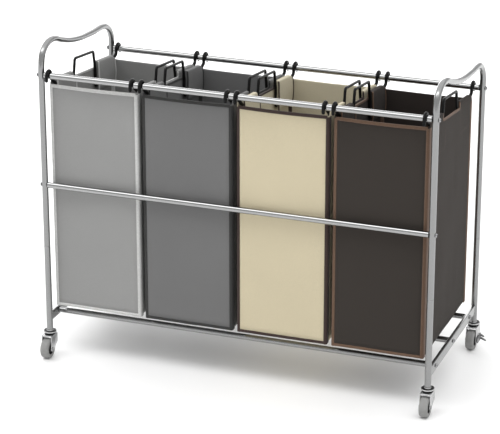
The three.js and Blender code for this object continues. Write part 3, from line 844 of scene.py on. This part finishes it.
def build_tapes(bag, rim):
    """Bindings: round the front and rear panels, over their top edges, and over the hand notches."""
    mesh = ([], [])
    for panel, top in ((0, FRONT_TOP), (4, REAR_TOP)):
        start, end = bag.starts[panel], bag.starts[panel] + bag.width
        z_low = bag.low.z + 1 * MM
        add_corner_tape(mesh, bag, start, 1, z_low, top - 3 * MM)
        add_corner_tape(mesh, bag, end, -1, z_low, top - 3 * MM)
        foot = []
        for k in range(25):
            s = start + bag.width * k / 24
            foot.append([(s, z_low + PANEL_TAPE * share, lift * TAPE_PROUD) for share, lift in FLAT_TAPE])
        add_ribbon(mesh, bag, foot)
        edge = rim_stretch(rim, start + 1e-5, end - 1e-5)
        if top == FRONT_TOP:
            add_folded_tape(mesh, bag, edge, PANEL_TAPE, 2 * MM)
            continue
        rows = []
        for share, lift in FLAT_TAPE:
            line = offset_path(clean_path(edge), 1 * MM + PANEL_TAPE * share)
            rows.append([(s, z, lift * TAPE_PROUD) for s, z in line])
        add_ribbon(mesh, bag, list(zip(*rows)))
    margin = 1.5 * MM
    for side in SIDES:
        ends = sorted((bag.side_s(side, NOTCH[0] - margin), bag.side_s(side, NOTCH[1] + margin)))
        add_folded_tape(mesh, bag, rim_stretch(rim, *ends), NOTCH_TAPE, NOTCH_TAPE)
    piece(f"{bag.node}_tapes", *mesh, [bag.cloth["tape"]], bag.node, slot=bag.cloth["slot"], sharp=60)


def sleeve_section(bag, rim, s, foot, over):
    """Across the sleeve at s: over the top edge when over is 1, from the wall's inner face when it is 0."""
    outer = -1.2 * MM + over * 1.7 * MM
    crown = rim_height(rim, s) - 4 * MM * (1 - over) - 3.4 * MM
    radius = (outer + SLEEVE_DEPTH) / 2
    section = [(s, crown - 6 * MM, outer), (s, crown - 3 * MM, outer)]
    for k in range(9):
        angle = math.pi * k / 8
        section.append((s, crown + 0.8 * radius * math.sin(angle), outer - radius * (1 - math.cos(angle))))
    drop = crown - foot
    for share in (0.12, 0.28, 0.45, 0.62, 0.78, 0.9):
        fullness = math.sin(math.pi * share) * 1.2 * MM
        ripple = noise.noise(Vector((s * 40, (crown - drop * share) * 55, bag.number * 3.7))) * 1.1 * MM
        section.append((s, crown - drop * share, -SLEEVE_DEPTH - fullness + ripple))
    section += [(s, foot + 3 * MM, -3.4 * MM), (s, foot, -CLOTH - 0.5 * MM), (s, foot, -0.6 * MM)]
    section.append((s, crown - 6 * MM, -0.6 * MM))
    return section


def over_rim(y):
    """1 where a sleeve folds over the top edge, 0 where the hand notch cuts it."""
    return 0 if NOTCH[0] < y < NOTCH[1] else 1


def build_sleeves(bag, rim):
    """The folded-over top of each side panel, sewn down inside it round the wire, with bound edges."""
    mesh, edging = ([], []), ([], [])
    half = 1.9 * MM
    strip = ((-half, 1), (-half, -0.7), (-0.7 * half, -1.1), (0.7 * half, -1.1), (half, -0.7), (half, 1))
    for side in SIDES:
        for front_y, rear_y, foot in SLEEVES:
            stations = [front_y + (rear_y - front_y) * k / 22 for k in range(23)]
            if front_y < NOTCH[0] < rear_y:
                stations = sorted(stations + [NOTCH[0] - 0.3 * MM, NOTCH[0] + 0.3 * MM])
            sections = [sleeve_section(bag, rim, bag.side_s(side, y), foot, over_rim(y)) for y in stations]
            add_ribbon(mesh, bag, sections)
            for y, inward in ((front_y, 1), (rear_y, -1)):
                edge_s = bag.side_s(side, y + inward * 1.2 * MM)
                inside = sleeve_section(bag, rim, edge_s, foot, over_rim(y))[8:-2]
                bound = [[(s + away, z, proud + rise * MM) for away, rise in strip] for s, z, proud in inside]
                add_ribbon(edging, bag, bound)
    slot = bag.cloth["slot"]
    piece(f"{bag.node}_sleeves", *mesh, [bag.cloth["lining"]], bag.node, slot=slot, sharp=60)
    piece(f"{bag.node}_sleeve_edging", *edging, [bag.cloth["tape"]], bag.node, slot=slot, sharp=60)


def add_stitch(mesh, bag, s, z, along, proud):
    """One small spindle-shaped stitch lying on the cloth."""
    vertices, faces = mesh
    start = len(vertices)
    ahead = along * STITCH_HALF
    side = Vector((-along.y, along.x)) * STITCH_THICK
    vertices.append(bag.point(s - ahead.x, z - ahead.y, proud - STITCH_THICK / 2))
    vertices.append(bag.point(s + ahead.x, z + ahead.y, proud - STITCH_THICK / 2))
    vertices.append(bag.point(s + side.x, z + side.y, proud))
    vertices.append(bag.point(s, z, proud + STITCH_THICK))
    vertices.append(bag.point(s - side.x, z - side.y, proud))
    vertices.append(bag.point(s, z, proud - STITCH_THICK))
    for k in range(4):
        a, b = start + 2 + k, start + 2 + (k + 1) % 4
        faces.append((start, a, b))
        faces.append((start + 1, b, a))


def stitch_line(mesh, bag, points, proud):
    """Stitches at an even pitch along a polyline of (s, z) points."""
    carried = 0.0
    for first, second in zip(points, points[1:]):
        first, second = Vector(first), Vector(second)
        length = (second - first).length
        if length < 1e-9:
            continue
        along = (second - first) / length
        at = STITCH_PITCH - carried
        while at < length:
            spot = first + along * at
            add_stitch(mesh, bag, spot.x, spot.y, along, proud)
            at += STITCH_PITCH
        carried = (carried + length) % STITCH_PITCH


def build_stitching(bag, rim):
    """Thread along the inner edge of the bindings, and on the side panels where the sleeves are sewn."""
    mesh = ([], [])
    for panel, top in ((0, FRONT_TOP), (4, REAR_TOP)):
        start, end = bag.starts[panel], bag.starts[panel] + bag.width
        left, right = start + PANEL_TAPE - CORNER - STITCH_IN, end - PANEL_TAPE + CORNER + STITCH_IN
        z_low, z_top = bag.low.z + PANEL_TAPE - STITCH_IN + 1 * MM, top - PANEL_TAPE
        stitch_line(mesh, bag, [(left, z_top), (left, z_low)], ON_TAPE)
        stitch_line(mesh, bag, [(left, z_low), (right, z_low)], ON_FOOT_TAPE)
        stitch_line(mesh, bag, [(right, z_low), (right, z_top)], ON_TAPE)
        stitch_line(mesh, bag, offset_path(rim_stretch(rim, left, right), PANEL_TAPE - STITCH_IN), ON_TAPE)
    for side in SIDES:
        notch = clean_path(rim_stretch(rim, *sorted(bag.side_s(side, y) for y in NOTCH)))
        stitch_line(mesh, bag, offset_path(notch, NOTCH_TAPE - STITCH_IN), ON_TAPE)
        for front_y, rear_y, foot in SLEEVES:
            first, last = bag.side_s(side, front_y), bag.side_s(side, rear_y)
            seam = foot + 4 * MM
            stitch_line(mesh, bag, [(first, foot + 60 * MM), (first, seam)], ON_CLOTH)
            stitch_line(mesh, bag, [(first, seam), (last, seam)], ON_CLOTH)
            stitch_line(mesh, bag, [(last, seam), (last, foot + 50 * MM)], ON_CLOTH)
    piece(f"{bag.node}_stitching", *mesh, [bag.cloth["thread"]], bag.node, slot=bag.cloth["slot"])


# ---- Side wires ----

HOOK_STEPS = 16
HOOK_SLEEVE_RADIUS = 3.6 * MM
HOOK_CLEARANCE = 0.4 * MM
WIRE_RADIUS = 3.1 * MM
FRONT_DROP = 9 * MM
REAR_DROP = 10 * MM
HANDLE_Y = MIDDLE_Y - 1.5 * MM
HANDLE_LEG = 58 * MM
HANDLE_TOP = 49 * MM
FRONT_FOOT_Z = 559 * MM
REAR_FOOT_Z = 556 * MM
WIRE_BEND = 6 * MM

# Heights of the handle's shoulders and crest, front and rear
SHOULDERS = (610 * MM, 598 * MM)
CREST = (654 * MM, 642 * MM)

# End, rail, drop, foot height and how far the sleeve runs down the slanting wire
HOOKS = (
    (-1, "front_top_rail", FRONT_DROP, FRONT_FOOT_Z, 30 * MM),
    (1, "rear_top_rail", REAR_DROP, REAR_FOOT_Z, 14 * MM),
)


def hook_points(end, rail):
    """A hook's arc over its rail, from its free tip to its inner leg, as (y, z), and that leg's place."""
    centre, size = extent(rail)
    radius = size.y + HOOK_CLEARANCE + HOOK_SLEEVE_RADIUS
    points = [(centre.y + end * radius, centre.z - 9 * MM), (centre.y + end * radius, centre.z - 4 * MM)]
    for step in range(HOOK_STEPS + 1):
        angle = math.pi * step / HOOK_STEPS
        points.append((centre.y + end * radius * math.cos(angle), centre.z + radius * math.sin(angle)))
    return points, centre.y - end * radius, centre.z


def sleeve_points(end, rail, drop, foot_z, reach):
    """A hook's sleeve: over the rail, down the inner leg and part of the slanting run to the handle."""
    points, leg, z = hook_points(end, rail)
    corner = Vector((leg, z - drop))
    foot = Vector((HANDLE_Y + end * HANDLE_LEG, foot_z))
    run = round_corners([(leg, z), corner, corner + (foot - corner).normalized() * reach], WIRE_BEND, 6)
    return points + run[1:]


def wire_path():
    """Front hook, handle and rear hook in one bent wire, as (y, z)."""
    front, front_leg, front_z = hook_points(-1, "front_top_rail")
    rear, rear_leg, rear_z = hook_points(1, "rear_top_rail")
    front_y, rear_y = HANDLE_Y - HANDLE_LEG, HANDLE_Y + HANDLE_LEG
    corners = [
        (front_leg, front_z), (front_leg, front_z - FRONT_DROP),
        (front_y, FRONT_FOOT_Z), (front_y, SHOULDERS[0]), (HANDLE_Y - HANDLE_TOP, CREST[0]),
        (HANDLE_Y + HANDLE_TOP, CREST[1]), (rear_y, SHOULDERS[1]), (rear_y, REAR_FOOT_Z),
        (rear_leg, rear_z - REAR_DROP), (rear_leg, rear_z),
    ]
    return front + round_corners(corners, WIRE_BEND, 8)[1:-1] + rear[::-1]


def build_wire(number, side):
    """One side's bent wire and the black sleeves on its two hooks."""
    node = f"bag_{number}_{side}_wire"
    x = extent(node)[0].x
    rod = sweep(wire_path(), WIRE_RADIUS, WIRE_SIDES, x, round_ends=True)
    piece(f"{node}_rod", *rod, [BLACK_WIRE], f"bag_{number}", (node,), "wire_black")
    for end, rail, drop, foot_z, reach in HOOKS:
        points = sleeve_points(end, rail, drop, foot_z, reach)
        sleeve = sweep(points, HOOK_SLEEVE_RADIUS, SLEEVE_SIDES, x, round_ends=True)
        name = f"{node}_{rail.split('_')[0]}_hook_sleeve"
        piece(name, *sleeve, [BLACK_PLASTIC], f"bag_{number}", slot="wire_black")


def build_bags():
    for number in BAGS:
        bag = Bag(number)
        rim = bag.rim()
        build_shell(bag, rim)
        build_tapes(bag, rim)
        build_sleeves(bag, rim)
        build_stitching(bag, rim)
        for side in SIDES:
            build_wire(number, side)


# ---- Casters ----

TRAIL = 15 * MM
AXLE_Z = 22.5 * MM
FORK_INSIDE = 20.5 * MM
FORK_LEG = 2 * MM
BOSS = 6.5 * MM
RACE_SIDES = 36
TYRE_SIDES = 64
HUB_SIDES = 48
RIVET_SIDES = 32


def build_stem(corner, x, y):
    """Kingpin, dished upper race and stem, with a black dust cap in the dish."""
    race = [
        (0, 47.4), (3.5, 47.4), (5, 48), (5.5, 49), (5.5, 49.6), (3.5, 49.7), (3.5, 57), (13.6, 57),
        (14.4, 57.3), (14.75, 58), (14.75, 59.6), (14.4, 60.2), (13.9, 60.3), (13.4, 59.9), (13, 58.4),
        (7.6, 58.4), (7.4, 61.4), (6.6, 62.6), (5, 62.7), (5, 99), (4, 100), (0, 100),
    ]
    cap = [(7.5, 58.3), (13.1, 58.3), (13.1, 59.4), (11, 59.9), (7.5, 60.4)]
    node = f"{corner}_caster_stem"
    turned_piece(
        f"{node}_race", in_mm(race), RACE_SIDES, "Z", (x, y, 0), PRESSED_STEEL, "frame",
        replaced=(node,), slot="caster_steel")
    turned_piece(
        f"{node}_dust_cap", in_mm(cap), RACE_SIDES, "Z", (x, y, 0), BLACK_PLASTIC, "frame",
        slot="caster_steel")


def boss_arc(y, first, span):
    """Points round the axle boss, from first half turns over span half turns, for the post at y."""
    angles = [math.pi * (first + span * k / 14) for k in range(15)]
    return [(y - TRAIL + BOSS * math.cos(angle), AXLE_Z + BOSS * math.sin(angle)) for angle in angles]


def side_outline_mesh(outline, x_low, x_high):
    """A plate between two x values, from an outline of (y, z) points."""
    count = len(outline)
    vertices = [Vector((x, y, z)) for x in (x_low, x_high) for y, z in outline]
    faces = [tuple(range(count)), tuple(reversed(range(count, 2 * count)))]
    for i in range(count):
        j = (i + 1) % count
        faces.append((j, i, count + i, count + j))
    return vertices, faces


def build_fork(corner, x, y):
    """Two tapering legs under a bridge, pressed from one strip, and the lower race."""
    node = f"{corner}_caster_fork"
    body = f"{corner}_fork"
    outline = [(y + 11 * MM, 53 * MM), (y - 19 * MM, 53 * MM)]
    outline += boss_arc(y, 1, 0.7)
    outline += [(y + dy, z) for dy, z in in_mm([(11.5, 30.5), (12.7, 32.5), (13, 35), (13, 51)])]
    vertices, faces = [], []
    for side in (-1, 1):
        inner = side * FORK_INSIDE / 2
        leg, leg_faces = side_outline_mesh(outline, x + inner, x + inner + side * FORK_LEG)
        start = len(vertices)
        vertices += leg
        faces += [tuple(start + v for v in face) for face in leg_faces]
    legs = piece(f"{node}_legs", vertices, faces, [PRESSED_STEEL], body, (node,), "caster_steel")
    bevelled(legs, 0.7 * MM)
    half = FORK_INSIDE / 2 + 0.2 * MM
    bridge = [(y + dy, z) for dy, z in in_mm([(-18.7, 50.2), (-18.7, 53), (12.8, 53), (12.8, 50.2)])]
    plate = side_outline_mesh(bridge, x - half, x + half)
    made = piece(f"{node}_bridge", *plate, [PRESSED_STEEL], body, slot="caster_steel")
    bevelled(made, 0.6 * MM)
    race = in_mm([(4.5, 52.9), (12.3, 52.9), (12.5, 53.4), (12.5, 55.6), (11.8, 56.5), (4.5, 56.5)])
    turned_piece(
        f"{node}_lower_race", race, RACE_SIDES, "Z", (x, y, 0), BLACK_PLASTIC, body, slot="caster_steel")


def build_wheel(corner, x, y):
    """A round-shouldered tyre and its recessed hub."""
    node = f"{corner}_wheel"
    centre = (x, y - TRAIL, AXLE_Z)
    half_tyre = [(14.2, 9.3), (17.5, 9.5), (20, 9.1), (21.6, 7.9), (22.3, 6), (22.5, 3.4)]
    tyre = in_mm([(13.2, -8.6), *((r, -a) for r, a in half_tyre), *reversed(half_tyre), (13.2, 8.6)])
    turned_piece(
        f"{node}_tyre", tyre, TYRE_SIDES, "X", centre, GREY_RUBBER, node,
        replaced=(node,), slot="wheel_grey")
    half_hub = [(3.4, 8), (6, 8), (6.4, 7.6), (6.6, 5.5), (12, 5.2), (12.8, 8.2), (13.3, 8.5)]
    hub = in_mm([*((r, -a) for r, a in half_hub), *reversed(half_hub)])
    turned_piece(f"{node}_hub", hub, HUB_SIDES, "X", centre, BLACK_RUBBER, node, slot="wheel_grey")


def build_axle(corner):
    """A rivet with a domed head at each end."""
    node = f"{corner}_axle"
    centre, size = extent(node)
    half = size.x
    head = 4.6 * MM
    pin = 2.9 * MM
    thick = 1.2 * MM
    seat = half - thick
    half_profile = [(0, half), (head * 0.6, half), (head, half - 0.5 * MM), (head, seat), (pin, seat)]
    profile = [*((r, -a) for r, a in half_profile), *reversed(half_profile)]
    turned_piece(
        f"{node}_rivet", profile, RIVET_SIDES, "X", centre, ZINC, f"{corner}_fork",
        replaced=(node,), slot="bolt_zinc")


def build_pedal(side):
    """A rocker plate outside the fork, with two foot tabs bent outward and down."""
    node = f"rear_{side}_brake_pedal"
    low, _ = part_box(node)
    y = POST["rear", side].y
    outline = boss_arc(y, 0.55, 0.95)
    edge = in_mm([(7, 16), (13, 16.5), (14, 18), (9.5, 31), (8, 32), (2, 32.5)])
    outline += [(y + dy, z) for dy, z in edge]
    plate = side_outline_mesh(outline, low.x, low.x + 2.5 * MM)
    bevelled(piece(f"{node}_plate", *plate, [PEDAL_GREY], node, (node,), "pedal_grey"), 0.6 * MM)
    slope = math.tan(math.radians(24))
    sections = ((0, 3.2, 1.5), (0.6, 3, 1.4), (0.9, 2.4, 1.1), (1, 1.4, 0.7))
    for tab, dy, z, reach in (("low", 10, 19, 13.2), ("high", 5, 29, 9.6)):
        corners = []
        for share, half_width, half_thick in sections:
            out = share * reach
            for across, up in ((-1, -1), (1, -1), (1, 1), (-1, 1)):
                corners.append(Vector((
                    low.x + (1.5 + out) * MM, y + (dy + across * half_width) * MM,
                    (z - out * slope + up * half_thick) * MM)))
        faces = ring_faces(4, 4) + [(3, 2, 1, 0), (12, 13, 14, 15)]
        made = piece(f"{node}_{tab}_tab", corners, faces, [PEDAL_GREY], node, slot="pedal_grey")
        bevelled(made, 0.5 * MM, angle=50)


def build_casters():
    for side in SIDES:
        for end in ENDS:
            corner = f"{end}_{side}"
            spot = POST[end, side]
            build_stem(corner, spot.x, spot.y)
            build_fork(corner, spot.x, spot.y)
            build_wheel(corner, spot.x, spot.y)
            build_axle(corner)
        build_pedal(side)


# ---- Stage, light and camera ----

CEILING_GLOW = 0.6
STRIP_GLOW = 3.2
STUDIO_GLOW = 0.75

# The camera from the posts' middle, in metres, its turns in degrees and its lens in millimetres
CAMERA_PLACE = (1.598, -4.4188, 2.1184)
CAMERA_DOWN = 20.94
CAMERA_TURN = 20.23
CAMERA_LENS = 164.95


def build_stage():
    bpy.ops.mesh.primitive_plane_add(size=30, location=(0, 0, 0))
    floor = bpy.context.object
    floor.name = "floor"
    material, tree, shader = new_material("pale_floor", (0.9, 0.9, 0.9), 0.6)
    tone = mix_colors(tree, noise_texture(tree, 3, 3), (0.88, 0.88, 0.88), (0.92, 0.92, 0.92))
    tree.links.new(tone, shader.inputs["Base Color"])
    floor.data.materials.append(material)


def add_area_light(name, place, target, size, power):
    light = bpy.data.lights.new(name, "AREA")
    light.shape = "RECTANGLE"
    light.size, light.size_y = size
    light.energy = power
    lamp = bpy.data.objects.new(name, light)
    lamp.location = place
    lamp.rotation_euler = (Vector(target) - Vector(place)).to_track_quat("-Z", "Y").to_euler()
    bpy.context.scene.collection.objects.link(lamp)


def build_light():
    """A grey studio with a bright ceiling, a soft light on the right and a broad one behind."""
    world = bpy.data.worlds.new("studio")
    bpy.context.scene.world = world
    world.use_nodes = True
    tree = world.node_tree
    direction = add_node(tree, "ShaderNodeTexCoord").outputs["Generated"]

    def band(toward, low, high):
        """1 in directions near toward and 0 away from it, with the edge where the cosine is low to high."""
        share = add_node(tree, "ShaderNodeVectorMath", [(0, direction), (1, toward)], operation="DOT_PRODUCT")
        inputs = [("Value", share.outputs["Value"]), ("From Min", low), ("From Max", high)]
        return add_node(tree, "ShaderNodeMapRange", inputs, interpolation_type="SMOOTHSTEP").outputs[0]

    ceiling = band((0, 0.17, 0.985), 0.42, 0.66)
    above = band((0, 0.94, 0.34), -0.2, -0.12)
    below = band((0, -0.94, -0.34), -0.2, -0.12)
    strip = multiply(tree, multiply(tree, above, below), band((-0.2, -0.33, 0.92), 0.75, 0.85))
    glow = add(tree, multiply(tree, ceiling, CEILING_GLOW), multiply(tree, strip, STRIP_GLOW))
    background = tree.nodes["Background"]
    tree.links.new(add(tree, glow, STUDIO_GLOW), background.inputs["Strength"])
    background.inputs["Color"].default_value = (1, 1, 1, 1)
    add_area_light("side_light", (2.6, -0.6, 1.9), (0.3, 0, 0.35), (1.6, 1.4), 1)
    add_area_light("rear_light", (-2.2, 3.4, 1.1), (-0.2, 0, 0.1), (5, 2.2), 75)


def build_camera():
    """The camera, placed from the middle of the four posts."""
    camera = bpy.data.cameras.new("camera")
    camera.sensor_width = 36
    camera.lens = CAMERA_LENS
    camera.clip_start = 0.1
    camera.clip_end = 60
    holder = bpy.data.objects.new("camera", camera)
    middle_x = (POST["front", "left"].x + POST["front", "right"].x) / 2
    holder.location = (middle_x + CAMERA_PLACE[0], MIDDLE_Y + CAMERA_PLACE[1], CAMERA_PLACE[2])
    holder.rotation_euler = (math.radians(90 - CAMERA_DOWN), 0, math.radians(CAMERA_TURN))
    bpy.context.scene.collection.objects.link(holder)
    bpy.context.scene.camera = holder
    bpy.context.scene.view_settings.view_transform = "Standard"


build_camera()
build_frame()
build_bags()
build_casters()
build_stage()
build_light()
